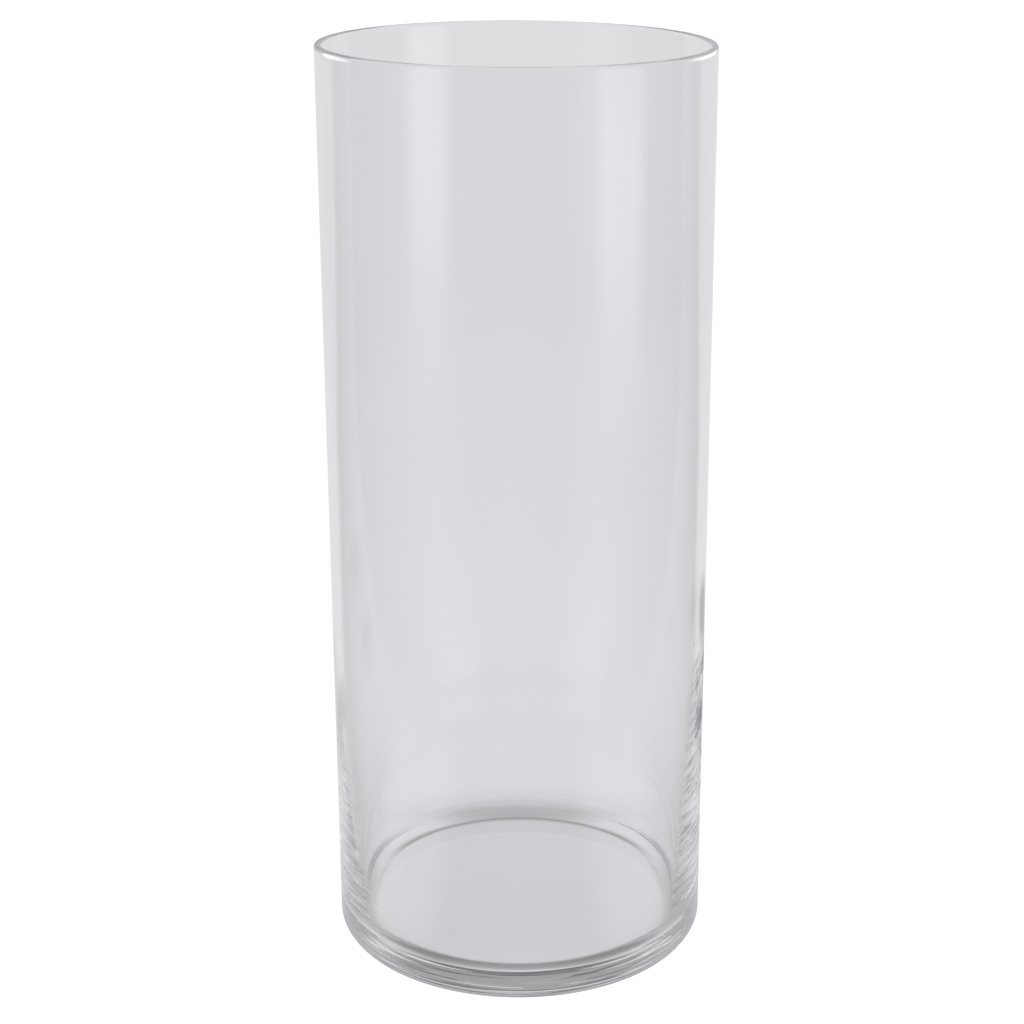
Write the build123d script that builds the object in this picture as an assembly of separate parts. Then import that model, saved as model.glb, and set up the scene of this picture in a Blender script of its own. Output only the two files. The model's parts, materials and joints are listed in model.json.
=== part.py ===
from build123d import *
import os

# A clear glass cylinder vase, blown in a mould as one piece of glass. The rim, the upper wall, the lower
# wall and the base are its four zones, each a solid of its own, and they meet face to face.
# Millimetres, +Z up. The origin is the centre of the ring that the vase stands on.

# Overall size
HEIGHT = 300.0
OUTER_RADIUS = 62.0

# Wall, which is even from the lip down and then thickens towards the base
UPPER_WALL = 2.2
FOOT_WALL = 5.8
THICKENS_BELOW = 110.0

# Lip and heel, both rounded
LIP_EDGE_RADIUS = 1.0
HEEL_RADIUS = 6.0

# Base: a flat floor inside, a crease round it, a cove up to the wall, and a shallow hollow underneath, so
# that the vase stands on a ring
FLOOR_HEIGHT = 7.8
FLOOR_RADIUS = 51.0
CREASE_RADIUS = 1.5
COVE_TOP = 15.0
HOLLOW_RADIUS = 50.0
HOLLOW_DEPTH = 0.3

# Where one zone ends and the next begins
BASE_TOP = 16.0
RIM_DEPTH = 5.0

INNER_RADIUS = OUTER_RADIUS - UPPER_WALL
FOOT_INNER_RADIUS = OUTER_RADIUS - FOOT_WALL
CLEAR_OF_GLASS = 5.0


def hollow_curve():
    """The underside's shallow dome, from the axis out to the standing ring."""
    dome_radius = (HOLLOW_RADIUS**2 + HOLLOW_DEPTH**2) / (2 * HOLLOW_DEPTH)
    return RadiusArc((0, HOLLOW_DEPTH), (HOLLOW_RADIUS, 0), dome_radius)


def half_section():
    """The glass on one side of the axis, as a face in the XZ plane with its corners rounded."""
    hollow = hollow_curve()
    heel_corner = (OUTER_RADIUS, 0)
    outer_lip = (OUTER_RADIUS, HEIGHT)
    inner_lip = (INNER_RADIUS, HEIGHT)
    thickening_starts = (INNER_RADIUS, THICKENS_BELOW)
    cove_top = (FOOT_INNER_RADIUS, COVE_TOP)
    floor_edge = (FLOOR_RADIUS, FLOOR_HEIGHT)
    floor_centre = (0, FLOOR_HEIGHT)
    outside = Polyline(hollow @ 1, heel_corner, outer_lip, inner_lip, thickening_starts)
    thickening = TangentArc(thickening_starts, cove_top, tangent=(0, -1))
    cove = TangentArc(cove_top, floor_edge, tangent=thickening % 1)
    inside = Polyline(floor_edge, floor_centre, hollow @ 0)
    section = make_face([hollow, *outside.edges(), thickening, cove, *inside.edges()])
    rounded_corners = {
        heel_corner: HEEL_RADIUS,
        outer_lip: LIP_EDGE_RADIUS,
        inner_lip: LIP_EDGE_RADIUS,
        floor_edge: CREASE_RADIUS,
    }
    for corner, radius in rounded_corners.items():
        section = fillet(nearest_corner(section, corner), radius)
    return Plane.XZ * section


def nearest_corner(section, point):
    """The section's vertex at a given radius and height."""
    return section.vertices().sort_by_distance(Vector(*point))[0]


def zone(glass, low, high):
    """The glass between two heights."""
    slab = Cylinder(OUTER_RADIUS + CLEAR_OF_GLASS, high - low)
    return glass & Pos(0, 0, (low + high) / 2) * slab


def rim(glass):
    """The fire-polished lip round the mouth."""
    return zone(glass, HEIGHT - RIM_DEPTH, HEIGHT)


def upper_wall(glass):
    """The straight, even wall below the lip."""
    return zone(glass, THICKENS_BELOW, HEIGHT - RIM_DEPTH)


def lower_wall(glass):
    """The wall that thickens towards the base."""
    return zone(glass, BASE_TOP, THICKENS_BELOW)


def base(glass):
    """The heavy base, with its floor, crease, cove, heel and standing ring."""
    return zone(glass, 0, BASE_TOP)


def main():
    os.makedirs("parts", exist_ok=True)
    glass = revolve(half_section(), Axis.Z)
    for make in (rim, upper_wall, lower_wall, base):
        piece = make(glass)
        piece.label = make.__name__
        export_step(piece, f"parts/{make.__name__}.step")


main()
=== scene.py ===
import json
import math

import bpy
import numpy as np
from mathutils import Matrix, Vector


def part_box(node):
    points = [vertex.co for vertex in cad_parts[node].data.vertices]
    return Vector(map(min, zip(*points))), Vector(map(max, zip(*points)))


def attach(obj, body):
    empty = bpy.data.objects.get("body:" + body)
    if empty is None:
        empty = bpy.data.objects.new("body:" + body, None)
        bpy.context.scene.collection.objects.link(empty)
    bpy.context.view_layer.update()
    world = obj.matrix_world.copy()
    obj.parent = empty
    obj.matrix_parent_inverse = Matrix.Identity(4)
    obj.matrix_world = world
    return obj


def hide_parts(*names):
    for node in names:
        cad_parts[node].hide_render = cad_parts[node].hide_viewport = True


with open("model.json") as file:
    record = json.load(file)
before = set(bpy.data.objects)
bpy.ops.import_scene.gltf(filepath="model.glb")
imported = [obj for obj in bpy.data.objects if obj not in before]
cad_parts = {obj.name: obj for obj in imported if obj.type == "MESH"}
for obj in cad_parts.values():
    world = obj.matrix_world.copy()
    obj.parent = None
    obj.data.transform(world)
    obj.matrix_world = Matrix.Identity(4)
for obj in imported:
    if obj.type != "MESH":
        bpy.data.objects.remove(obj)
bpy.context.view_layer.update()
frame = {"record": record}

MM = 0.001

# The glass. The frame gives its height, its outer radius, its mouth and where the wall starts to thicken.
_, RIM_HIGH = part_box("rim")
_, LOWER_WALL_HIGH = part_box("lower_wall")
MOUTH = next(mount for mount in frame["record"]["mounts"] if mount["name"] == "mouth")
HEIGHT = RIM_HIGH[2]
OUTER_RADIUS = LOWER_WALL_HIGH[0]
THICKENS_BELOW = LOWER_WALL_HIGH[2]
MOUTH_RADIUS = MOUTH["dims"]["r_mm"] * MM
FOOT_WALL = 5.8 * MM
FOOT_INNER_RADIUS = OUTER_RADIUS - FOOT_WALL
COVE_TOP = 15.0 * MM
FLOOR_HEIGHT = 7.8 * MM
FLOOR_RADIUS = 51.0 * MM
CREASE_RADIUS = 1.5 * MM
HEEL_RADIUS = 6.0 * MM
LIP_EDGE_RADIUS = 1.0 * MM
HOLLOW_RADIUS = 50.0 * MM
HOLLOW_DEPTH = 0.3 * MM

# How much lower the lip is on the right
RIM_DROP = 1.0 * MM

# Chill ripples low on the two sides. Their starts, ends and soft edges are azimuths in degrees from +X.
RIPPLE_DEPTH = 0.5 * MM
RIPPLE_PITCHES = (4.7 * MM, 6.4 * MM)
RIPPLE_SHARE = 0.18
RIPPLE_FOOT_FADE = 12.0 * MM
RIGHT_START, RIGHT_END, RIGHT_SOFT = -30, 2, 4
RIGHT_TOP, RIGHT_FULL_BELOW = 112.0 * MM, 104.0 * MM
LEFT_START, LEFT_END, LEFT_SOFT = -182, -162, 5
LEFT_TOP, LEFT_FULL_BELOW = 86.0 * MM, 36.0 * MM
LEFT_SHARE = 0.4

# On the right they start some degrees nearer to the edge higher up, and climb there by so much in each
# radian from an azimuth, which is in radians too
NARROWING, NARROWS_ABOVE, NARROWEST_ABOVE = 7, 45.0 * MM, 75.0 * MM
CLIMB, CLIMBS_ABOVE, STEEPEST_ABOVE = 25.0 * MM, 50.0 * MM, 85.0 * MM
CLIMB_AZIMUTH = -0.35

# Two creases low on the left, as (height, depth)
CREASES = [(27.0 * MM, 0.42 * MM), (17.5 * MM, 0.38 * MM)]
CREASE_START, CREASE_END, CREASE_SOFT = -170, -143, 6
CREASE_HALF_WIDTH = 0.45 * MM

# Fine streaks all round the foot
STREAK_DEPTH = 0.035 * MM
STREAK_PITCHES = (2.3 * MM, 1.7 * MM, 1.4 * MM)
STREAK_SHARE = 0.3
STREAK_TOP = 16.0 * MM
STREAK_TOP_FADE = 6.0 * MM
STREAK_FOOT_FADE = 1.0 * MM

# The skin: how many columns it has, how high its close rows reach, and how far apart its rows are at most
SEGMENTS = 400
RIPPLE_ROWS_TOP = 116.0 * MM
CORNER_STEP = 0.2 * MM
STREAK_STEP = 0.25 * MM
RIPPLE_STEP = 0.25 * MM
CURVE_STEP = 1.6 * MM
COARSE_STEP = 6.0 * MM
TINY = 1e-6

# The table's glow, as (distance from the vase's axis in metres, level) pairs: where no painted shadow darkens
# it, though it is painted a little darker under the vase and a little darker far off; and how much of that
# the painted shadows leave under the vase's front, where it stands, close behind it and beside it
PLAIN = [(0, 0.67), (0.06, 0.67), (0.1, 0.715), (0.25, 0.74), (0.6, 0.73), (1.0, 0.71)]
FRONT = [(0, 1), (0.049, 1), (0.052, 0.5), (0.061, 0.5), (0.075, 1)]
CONTACT_SHADOW = [(0, 1), (0.0563, 1), (0.0578, 0.3), (0.0605, 0.32), (0.0622, 1)]
CLOSE_BEHIND = [(0, 1), (0.0563, 1), (0.0605, 0.52), (0.0665, 0.66), (0.0705, 0.82), (0.078, 0.92), (0.1, 1)]
SIDES = [(0, 1), (0.0563, 1), (0.0605, 0.75), (0.068, 0.78), (0.08, 0.9), (0.1, 1)]

# Each painted shadow, with the distance behind the axis where it starts and the one where it is full
PAINTED_SHADOWS = [(FRONT, -0.025, -0.045), (CONTACT_SHADOW, 0.02, 0.045), (CLOSE_BEHIND, 0.053, 0.067), (SIDES, 0.03, 0.0)]

# A painted pool of lamplight: the sector behind the vase. It is as wide as the wider of two lines, each with
# a slope and a half width at the axis. The table is painted darker outside it, and inside it a little darker
# to the sides.
SECTOR_EDGES = [(1.527, -0.2), (0.9, 0.078)]
SECTOR_SOFT = 0.02
OUTSIDE_SECTOR = 0.5
SECTOR_SIDES = 0.97

# Painted shadows of the vase's two edges on the table behind it, as (centre, radius, level left in the
# middle)
EDGE_SHADOWS = [((0.135, 0.145, 0), 0.045, 0.4), ((0.175, 0.27, 0), 0.065, 0.55), ((-0.15, 0.14, 0), 0.045, 0.75)]

# The azimuths of two painted lanes of light on the table in front of the vase, and how much they add
LANES = [-147, -36]
LANE_LEVEL = 0.55

# The studio's brightness, as (sine of the angle above the table, level) pairs
SKY = [(0.0, 0.55), (0.2, 0.5), (0.42, 0.5), (0.52, 0.34), (0.62, 0.46), (0.75, 0.28), (0.9, 0.16)]

# How high the middle of every softbox is
SOFTBOX_MIDDLE = 0.17

FLOOR_SIZE = 12.0
FLOOR_DROP = 0.3 * MM
CAMERA_PLACE = (-0.00203, -0.68655, 0.37877)
CAMERA_DOWN = math.radians(18.6335)
CAMERA_ROLL = -0.00498
CAMERA_LENS = 77.454

# Light runs a long way inside the lip and the base before it leaves them
BOUNCES = 1024


def line(start, end, step):
    """Evenly spaced points from start to end, at most step apart."""
    count = max(2, math.ceil(math.dist(start, end) / step) + 1)
    return np.linspace(start, end, count)


def tangent_arc(start, direction, end, step):
    """Points at most step apart on the arc that leaves start in a direction and ends at end."""
    start, end = np.array(start), np.array(end)
    along = np.array(direction) / np.linalg.norm(direction)
    normal = np.array([-along[1], along[0]])
    chord = end - start
    radius = chord @ chord / (2 * chord @ normal)
    turn = 2 * math.atan2(chord @ normal, chord @ along)
    angles = np.linspace(0, turn, max(2, math.ceil(abs(radius * turn) / step) + 1))
    return start + radius * (np.outer(np.sin(angles), along) + np.outer(1 - np.cos(angles), normal))


def rounded(before, corner, after, radius, step):
    """Points on the arc that rounds a corner between two neighbouring points."""
    corner = np.array(corner)
    inward = (np.array(before) - corner) / math.dist(before, corner)
    outward = (np.array(after) - corner) / math.dist(after, corner)
    half_angle = math.acos(inward @ outward) / 2
    setback = radius / math.tan(half_angle)
    return tangent_arc(corner + inward * setback, -inward, corner + outward * setback, step)


def profile():
    """The glass's half section, as points from the middle of the floor up the inside, over the lip, down the
    outside and back to the middle of the underside."""
    floor_centre, floor_edge = (0, FLOOR_HEIGHT), (FLOOR_RADIUS, FLOOR_HEIGHT)
    cove_top, wall_top = (FOOT_INNER_RADIUS, COVE_TOP), (MOUTH_RADIUS, THICKENS_BELOW)
    inner_lip, outer_lip = (MOUTH_RADIUS, HEIGHT), (OUTER_RADIUS, HEIGHT)
    heel, hollow_edge = (OUTER_RADIUS, 0), (HOLLOW_RADIUS, 0)
    below_lip = HEIGHT - 2 * LIP_EDGE_RADIUS
    wall = tangent_arc(wall_top, (0, -1), cove_top, CURVE_STEP)
    cove = tangent_arc(cove_top, wall[-1] - wall[-2], floor_edge, CORNER_STEP)
    cove = cove[cove[:, 1] > FLOOR_HEIGHT + CREASE_RADIUS / 3]
    parts = [
        line(floor_centre, (FLOOR_RADIUS - CREASE_RADIUS, FLOOR_HEIGHT), COARSE_STEP),
        rounded(floor_centre, floor_edge, cove[-1], CREASE_RADIUS, CORNER_STEP),
        cove[::-1],
        wall[::-1],
        line(wall_top, (MOUTH_RADIUS, below_lip), COARSE_STEP),
        rounded(wall_top, inner_lip, outer_lip, LIP_EDGE_RADIUS, CORNER_STEP),
        rounded(inner_lip, outer_lip, heel, LIP_EDGE_RADIUS, CORNER_STEP),
        line((OUTER_RADIUS, below_lip), (OUTER_RADIUS, RIPPLE_ROWS_TOP), COARSE_STEP),
        line((OUTER_RADIUS, RIPPLE_ROWS_TOP), (OUTER_RADIUS, STREAK_TOP), RIPPLE_STEP),
        line((OUTER_RADIUS, STREAK_TOP), (OUTER_RADIUS, HEEL_RADIUS), STREAK_STEP),
        rounded(outer_lip, heel, hollow_edge, HEEL_RADIUS, STREAK_STEP),
        line((OUTER_RADIUS - HEEL_RADIUS, 0), hollow_edge, CURVE_STEP),
        tangent_arc((0, HOLLOW_DEPTH), (1, 0), hollow_edge, COARSE_STEP)[::-1],
    ]
    points = np.vstack(parts)
    apart = np.linalg.norm(np.diff(points, axis=0), axis=1) > TINY
    return points[np.append(True, apart)]


def rise(value, start, end):
    """How far a value has gone from start to end, kept between 0 and 1."""
    return np.clip((value - start) / (end - start), 0, 1)


def around(azimuth, start, end, soft):
    """A window on the azimuth that rises from 0 to 1 just inside its start and falls again just before its
    end. The azimuth is in radians, and the rest is in degrees."""
    centre, half_width = (start + end) / 2, (end - start) / 2
    away = np.abs((np.degrees(azimuth) - centre + 180) % 360 - 180)
    return np.clip((half_width - away) / soft, 0, 1)


def grooves(rng, azimuth, level, pitches, share):
    """The depth of sets of narrow rings, each up to 1 deep and one pitch apart, which wander a little and
    come and go round the wall. Share is how much of the pitch a groove takes up at half its depth."""
    sharpness = math.log(2) / (1 - math.cos(math.pi * share))
    total = 0
    for pitch in pitches:
        sway, beat, phase, reach = rng.uniform(0, math.tau, 4)
        lobes = rng.integers(2, 7)
        bend = 0.8 * np.sin(2 * azimuth + sway) + 0.5 * np.sin(5 * azimuth + beat)
        bend = bend + 0.6 * np.sin(level / pitch + reach)
        swell = 0.5 + 0.5 * np.sin(lobes * azimuth + level / (4 * pitch) * math.tau + reach)
        turn = math.tau * level / pitch + phase + bend
        total = total + swell * np.exp(sharpness * (np.cos(turn) - 1))
    return total


def side_ripples(rng, azimuth, height):
    """Ripples up the two sides, which are higher, bolder and more slanting on the right."""
    climb = CLIMB * rise(height, CLIMBS_ABOVE, STEEPEST_ABOVE) * np.clip(np.cos(azimuth), 0, 1)
    level = height - climb * (azimuth - CLIMB_AZIMUTH)
    right_start = RIGHT_START + NARROWING * rise(height, NARROWS_ABOVE, NARROWEST_ABOVE)
    right = around(azimuth, right_start, RIGHT_END, RIGHT_SOFT) * rise(height, RIGHT_TOP, RIGHT_FULL_BELOW)
    left = around(azimuth, LEFT_START, LEFT_END, LEFT_SOFT) * rise(height, LEFT_TOP, LEFT_FULL_BELOW)
    share = (right + LEFT_SHARE * left) * rise(height, 0, RIPPLE_FOOT_FADE)
    return RIPPLE_DEPTH * share * grooves(rng, azimuth, level, RIPPLE_PITCHES, RIPPLE_SHARE)


def creases(azimuth, height):
    """Single creases that wander round the left of the foot."""
    share = around(azimuth, CREASE_START, CREASE_END, CREASE_SOFT)
    wander = 0.5 * MM * np.sin(9 * azimuth) + 0.3 * MM * np.sin(23 * azimuth)
    sunk = 0
    for middle, depth in CREASES:
        sunk = sunk + depth * share * np.exp(-(((height - middle - wander) / CREASE_HALF_WIDTH) ** 2))
    return sunk


def foot_streaks(rng, azimuth, height):
    """Fine rings round the foot, which fade out above it and at the very bottom."""
    share = rise(height, 0, STREAK_FOOT_FADE) * rise(height, STREAK_TOP, STREAK_TOP - STREAK_TOP_FADE)
    return STREAK_DEPTH * share * grooves(rng, azimuth, height, STREAK_PITCHES, STREAK_SHARE)


def sunk_by(azimuth, height):
    """How far the outside is sunk below its true surface, in metres."""
    rng = np.random.default_rng(7)
    azimuth = (azimuth + math.pi) % math.tau - math.pi
    sunk = side_ripples(rng, azimuth, height) + creases(azimuth, height)
    return sunk + foot_streaks(rng, azimuth, height)


def glass_points(section):
    """The skin's points: the middle of the floor, a ring for each point of the section between its two ends,
    and the middle of the underside."""
    rows = section[1:-1]
    angle = np.arange(SEGMENTS) * math.tau / SEGMENTS
    radius = np.repeat(rows[:, :1], SEGMENTS, axis=1)
    height = np.repeat(rows[:, 1:], SEGMENTS, axis=1)
    outside = np.arange(len(rows))[:, None] >= np.argmax(rows[:, 0] > OUTER_RADIUS - TINY)
    radius = radius - np.where(outside, sunk_by(angle, height), 0)
    height = height - RIM_DROP * (height / HEIGHT) ** 2 * (1 + np.cos(angle)) / 2
    rings = np.stack([radius * np.cos(angle), radius * np.sin(angle), height], axis=-1).reshape(-1, 3)
    return np.vstack([[(0, 0, section[0][1])], rings, [(0, 0, section[-1][1])]])


def glass_faces(ring_count):
    """The skin's faces: a fan over the floor, a fan over the underside, and a band between each two rings."""
    here = np.arange(SEGMENTS)
    following = (here + 1) % SEGMENTS
    first = 1 + SEGMENTS * np.arange(ring_count - 1)[:, None]
    corners = [first + here + SEGMENTS, first + following + SEGMENTS, first + following, first + here]
    bands = np.stack(corners, axis=-1).reshape(-1, 4)
    last_ring = 1 + SEGMENTS * (ring_count - 1)
    floor_middle = np.zeros(SEGMENTS, int)
    underside_middle = floor_middle + last_ring + SEGMENTS
    floor_fan = np.stack([floor_middle, 1 + here, 1 + following], axis=-1)
    underside_fan = np.stack([underside_middle, last_ring + following, last_ring + here], axis=-1)
    return floor_fan.tolist() + bands.tolist() + underside_fan.tolist()


def make_glass():
    """The whole vase as one closed skin, because its zones are one piece of glass."""
    section = profile()
    mesh = bpy.data.meshes.new("vase_glass")
    mesh.from_pydata(glass_points(section).tolist(), [], glass_faces(len(section) - 2))
    mesh.update()
    mesh.shade_smooth()
    mesh.materials.append(glass_material())
    glass = bpy.data.objects.new("vase_glass", mesh)
    bpy.context.scene.collection.objects.link(glass)
    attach(glass, "root")
    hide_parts("rim", "upper_wall", "lower_wall", "base")


class Nodes:
    """The nodes of a material or a world, with short ways to add more."""

    def __init__(self, owner):
        owner.use_nodes = True
        self.tree = owner.node_tree

    def named(self, name):
        """A node that is there already."""
        return self.tree.nodes[name]

    def feed(self, socket, value):
        """Give an input a plain value, or link another node's output to it."""
        if isinstance(value, bpy.types.NodeSocket):
            self.tree.links.new(value, socket)
        else:
            socket.default_value = value

    def add(self, kind, inputs=None, **settings):
        """A new node with its settings and its inputs."""
        node = self.tree.nodes.new("ShaderNode" + kind)
        for name, value in settings.items():
            setattr(node, name, value)
        for name, value in (inputs or {}).items():
            self.feed(node.inputs[name], value)
        return node

    def place(self, system):
        """The point being shaded, in one of the coordinate systems that Blender offers."""
        return self.add("TexCoord").outputs[system]

    def math(self, operation, *values):
        """A number worked out from sockets and plain numbers."""
        return self.add("Math", dict(enumerate(values)), operation=operation).outputs[0]

    def measure(self, operation, *vectors):
        """A number worked out from vectors."""
        return self.add("VectorMath", dict(enumerate(vectors)), operation=operation).outputs["Value"]

    def smooth_step(self, value, start, end, low, high):
        """A soft change from low to high while a value goes from start to end."""
        inputs = {"Value": value, "From Min": start, "From Max": end, "To Min": low, "To Max": high}
        return self.add("MapRange", inputs, interpolation_type="SMOOTHSTEP").outputs["Result"]

    def level_ramp(self, value, stops):
        """A smooth grey level for a value, through (value, level) pairs in order."""
        ramp = self.add("ValToRGB", {"Fac": value})
        ramp.color_ramp.interpolation = "EASE"
        for _ in stops[2:]:
            ramp.color_ramp.elements.new(0.5)
        for element, (position, level) in zip(ramp.color_ramp.elements, stops):
            element.position = position
            element.color = (level, level, level, 1)
        return ramp.outputs["Color"]


def glass_material():
    """Clear, faintly violet glass, with a tint and a surface that are not quite even."""
    material = bpy.data.materials.new("clear_glass")
    nodes = Nodes(material)
    place = nodes.place("Object")
    cloud = nodes.add("TexNoise", {"Vector": place, "Scale": 18.0, "Detail": 2.0})
    tint = nodes.add("ValToRGB", {"Fac": cloud.outputs["Fac"]})
    tint.color_ramp.elements[0].color = (0.976, 0.97, 0.994, 1)
    tint.color_ramp.elements[1].color = (0.986, 0.98, 1.0, 1)
    uneven = nodes.add("TexNoise", {"Vector": place, "Scale": 45.0, "Detail": 1.0})
    bump = nodes.add("Bump", {"Height": uneven.outputs["Fac"], "Strength": 0.3, "Distance": 0.03 * MM})
    absorb = nodes.add("VolumeAbsorption", {"Color": (0.85, 0.84, 0.9, 1), "Density": 0.6})
    shader = nodes.named("Principled BSDF")
    shader.inputs["Roughness"].default_value = 0.0
    shader.inputs["IOR"].default_value = 1.5
    shader.inputs["Transmission Weight"].default_value = 1.0
    nodes.feed(shader.inputs["Base Color"], tint.outputs["Color"])
    nodes.feed(shader.inputs["Normal"], bump.outputs["Normal"])
    nodes.feed(nodes.named("Material Output").inputs["Volume"], absorb.outputs[0])
    return material


def painted_sector_level(nodes, aside, behind):
    """Painted lamplight: 1 in the middle of the lit sector behind the vase, a little less to its sides, and
    less outside it.
    """
    far_edge, near_edge = (nodes.math("MULTIPLY_ADD", behind, slope, width) for slope, width in SECTOR_EDGES)
    inside = nodes.math("SUBTRACT", nodes.math("MAXIMUM", far_edge, near_edge), aside)
    lit = nodes.smooth_step(inside, -SECTOR_SOFT, SECTOR_SOFT, OUTSIDE_SECTOR, 1.0)
    slant = nodes.math("DIVIDE", aside, nodes.math("MAXIMUM", behind, 0.3))
    return nodes.math("MULTIPLY", lit, nodes.smooth_step(slant, 0.25, 0.5, 1.0, SECTOR_SIDES))


def painted_lane_level(nodes, place, azimuth):
    """How much a painted lane of light adds to the table's glow. It spreads and fades as it leaves the vase.
    """
    turn = math.radians(azimuth)
    reach = nodes.measure("DOT_PRODUCT", place, (math.cos(turn), math.sin(turn), 0))
    off = nodes.measure("DOT_PRODUCT", place, (-math.sin(turn), math.cos(turn), 0))
    away = nodes.math("MAXIMUM", reach, 0.02)
    slant = nodes.math("DIVIDE", nodes.math("ABSOLUTE", off), away)
    lane = nodes.smooth_step(slant, 0.15, 0.5, LANE_LEVEL, 0.0)
    lane = nodes.math("MULTIPLY", lane, nodes.smooth_step(away, 0.063, 0.08, 0.0, 1.0))
    return nodes.math("MULTIPLY", lane, nodes.smooth_step(away, 0.1, 0.3, 1.0, 0.2))


def table_level(nodes):
    """How bright the table is to everything but the camera, with its painted shadows and painted pools of
    light.
    """
    place = nodes.place("Object")
    parts = nodes.add("SeparateXYZ", {0: place})
    aside, behind = nodes.math("ABSOLUTE", parts.outputs["X"]), parts.outputs["Y"]
    distance = nodes.measure("LENGTH", place)
    level = nodes.level_ramp(distance, PLAIN)
    # Painted shadows round the foot: under its front, where it stands, close behind it and beside it
    for stops, start, full in PAINTED_SHADOWS:
        shade = nodes.smooth_step(behind, start, full, 1.0, nodes.level_ramp(distance, stops))
        level = nodes.math("MULTIPLY", level, shade)
    # Painted lamplight in the sector behind the vase
    level = nodes.math("MULTIPLY", level, painted_sector_level(nodes, aside, behind))
    # Painted shadows of the vase's edges
    for centre, radius, left in EDGE_SHADOWS:
        gap = nodes.measure("DISTANCE", place, centre)
        level = nodes.math("MULTIPLY", level, nodes.smooth_step(gap, radius / 3, radius, left, 1.0))
    # Painted lanes of light in front of the vase
    for azimuth in LANES:
        level = nodes.math("ADD", level, painted_lane_level(nodes, place, azimuth))
    return level


def make_floor():
    """A luminous table that photographs white, although the glass shows it greyer. Its glow carries painted
    shadows and painted pools of light.
    """
    bpy.ops.mesh.primitive_plane_add(size=FLOOR_SIZE, location=(0, 0, -FLOOR_DROP))
    floor = bpy.context.object
    floor.name = "studio_floor"
    material = bpy.data.materials.new("studio_floor")
    nodes = Nodes(material)
    seen = nodes.add("LightPath").outputs["Is Camera Ray"]
    glow = nodes.smooth_step(seen, 0.0, 1.0, table_level(nodes), 1.0)
    shader = nodes.named("Principled BSDF")
    shader.inputs["Base Color"].default_value = (0.16, 0.16, 0.16, 1)
    shader.inputs["Roughness"].default_value = 0.9
    shader.inputs["Specular IOR Level"].default_value = 0.0
    shader.inputs["Emission Color"].default_value = (1, 1, 1, 1)
    nodes.feed(shader.inputs["Emission Strength"], glow)
    floor.data.materials.append(material)


def make_camera():
    """The camera, in front of the vase and above it, looking down."""
    data = bpy.data.cameras.new("camera")
    data.lens = CAMERA_LENS
    data.sensor_width = 36
    data.clip_start = 0.01
    camera = bpy.data.objects.new("camera", data)
    camera.location = CAMERA_PLACE
    camera.rotation_mode = "ZYX"
    camera.rotation_euler = (math.pi / 2 - CAMERA_DOWN, 0, CAMERA_ROLL)
    bpy.context.scene.collection.objects.link(camera)
    bpy.context.scene.camera = camera


def make_world():
    """A pale studio all round, under a darker ceiling."""
    world = bpy.data.worlds.new("studio")
    bpy.context.scene.world = world
    nodes = Nodes(world)
    direction = nodes.add("SeparateXYZ", {0: nodes.place("Generated")})
    background = nodes.named("Background")
    background.inputs["Color"].default_value = (1, 1, 1, 1)
    nodes.feed(background.inputs["Strength"], nodes.level_ramp(direction.outputs["Z"], SKY))


def softbox_material(name, strength):
    """Light that fades out towards the edges of the card it is on."""
    material = bpy.data.materials.new(name)
    nodes = Nodes(material)
    nodes.tree.nodes.clear()
    parts = nodes.add("SeparateXYZ", {0: nodes.place("UV")})
    across, up = (nodes.math("PINGPONG", parts.outputs[axis], 0.5) for axis in "XY")
    across_fade = nodes.smooth_step(across, 0.0, 0.32, 0.0, 1.0)
    up_fade = nodes.smooth_step(up, 0.0, 0.5, 0.0, 1.0)
    clear = nodes.add("BsdfTransparent").outputs[0]
    glow = nodes.add("Emission", {"Strength": strength}).outputs[0]
    mix = nodes.add("MixShader", {0: nodes.math("MULTIPLY", across_fade, up_fade), 1: clear, 2: glow})
    nodes.add("OutputMaterial", {"Surface": mix.outputs[0]})
    return material


def add_softbox(name, azimuth, away, width, height, strength, through_glass=True):
    """An upright softbox that shows in the glass only: through it and in its reflections, or in its
    reflections alone."""
    turn = math.radians(azimuth)
    place = (away * math.cos(turn), away * math.sin(turn), SOFTBOX_MIDDLE)
    facing = (math.pi / 2, 0, turn + math.pi / 2)
    bpy.ops.mesh.primitive_plane_add(size=1, location=place, rotation=facing)
    card = bpy.context.object
    card.name = name
    card.scale = (width, height, 1)
    card.data.materials.append(softbox_material(name, strength))
    card.visible_camera = False
    card.visible_diffuse = False
    card.visible_transmission = through_glass
    card.visible_shadow = False


make_glass()
make_floor()
make_camera()
make_world()
add_softbox("left_softbox", azimuth=-142, away=0.6, width=0.36, height=0.34, strength=0.8)
add_softbox("right_softbox", azimuth=-31, away=0.6, width=0.42, height=0.34, strength=1.4)
add_softbox("left_far_softbox", azimuth=148, away=2.6, width=2.0, height=1.1,
            strength=3.5, through_glass=False)
add_softbox("right_far_softbox", azimuth=44, away=2.6, width=2.8, height=1.1,
            strength=3.0, through_glass=False)

scene = bpy.context.scene
scene.view_settings.view_transform = "Standard"
scene.cycles.max_bounces = BOUNCES
scene.cycles.transmission_bounces = BOUNCES
scene.cycles.glossy_bounces = BOUNCES
